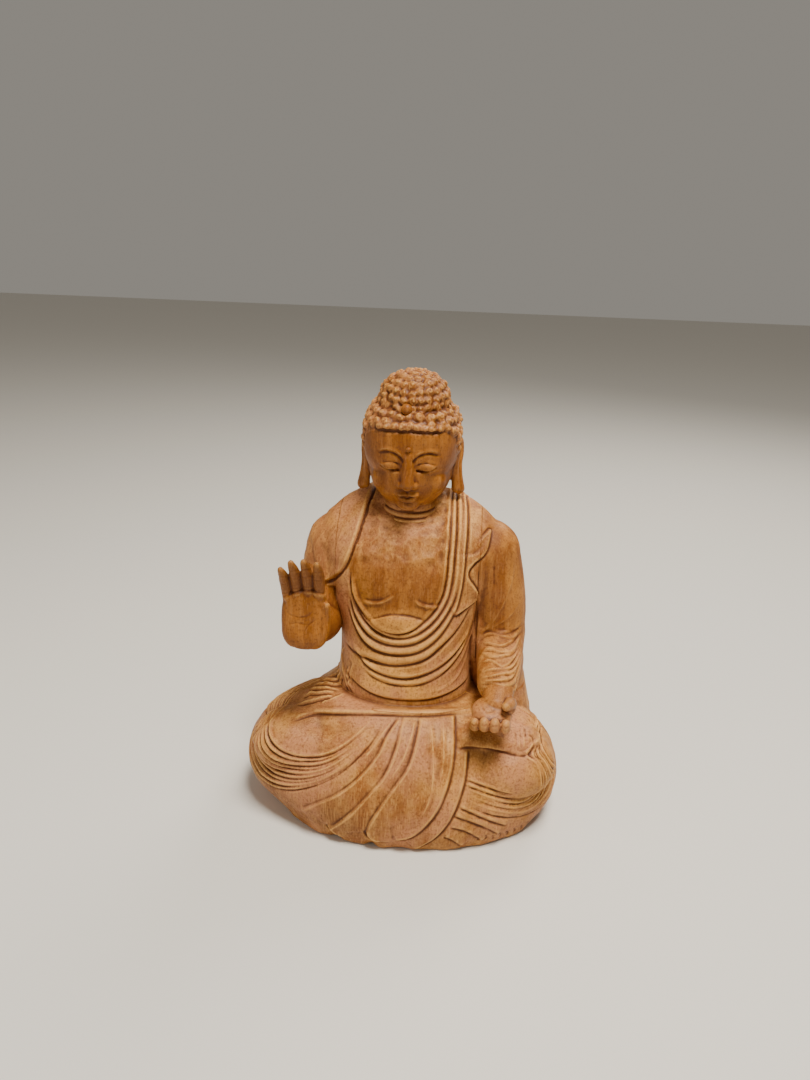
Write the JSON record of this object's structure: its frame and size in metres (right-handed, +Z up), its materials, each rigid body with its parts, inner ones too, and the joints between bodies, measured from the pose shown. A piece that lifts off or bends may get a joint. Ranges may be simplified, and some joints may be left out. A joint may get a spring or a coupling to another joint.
{
  "type": "carved wooden seated buddha figure",
  "caption": "Carved wooden figure of a seated Buddha in a draped robe, one hand raised palm out and the other resting on the lap.",
  "frame": {"origin": "on the table, on the figure's middle line, between the front and the back of its base", "axes": "+Z up, the figure faces -Y, its left hand is towards +X"},
  "size_m": [0.1176, 0.081, 0.16],
  "materials": {
    "robe_wood": "knife-cut and lightly polished red-brown wood",
    "skin_wood": "smoothly polished orange-brown wood",
    "peg_wood": "plain turned wood"
  },
  "bodies": {
    "root": {"trunk": "robe_wood", "lap_block": "robe_wood", "right_arm_block": "robe_wood", "left_arm_block": "robe_wood", "right_forearm_and_hand": "skin_wood", "left_hand": "skin_wood", "head": "skin_wood", "crown_bead": "skin_wood", "brow_bead": "skin_wood", "lap_peg_right": "peg_wood", "lap_peg_left": "peg_wood", "right_arm_peg_upper": "peg_wood", "right_arm_peg_lower": "peg_wood", "left_arm_peg_upper": "peg_wood", "left_arm_peg_lower": "peg_wood"}
  },
  "joints": []
}
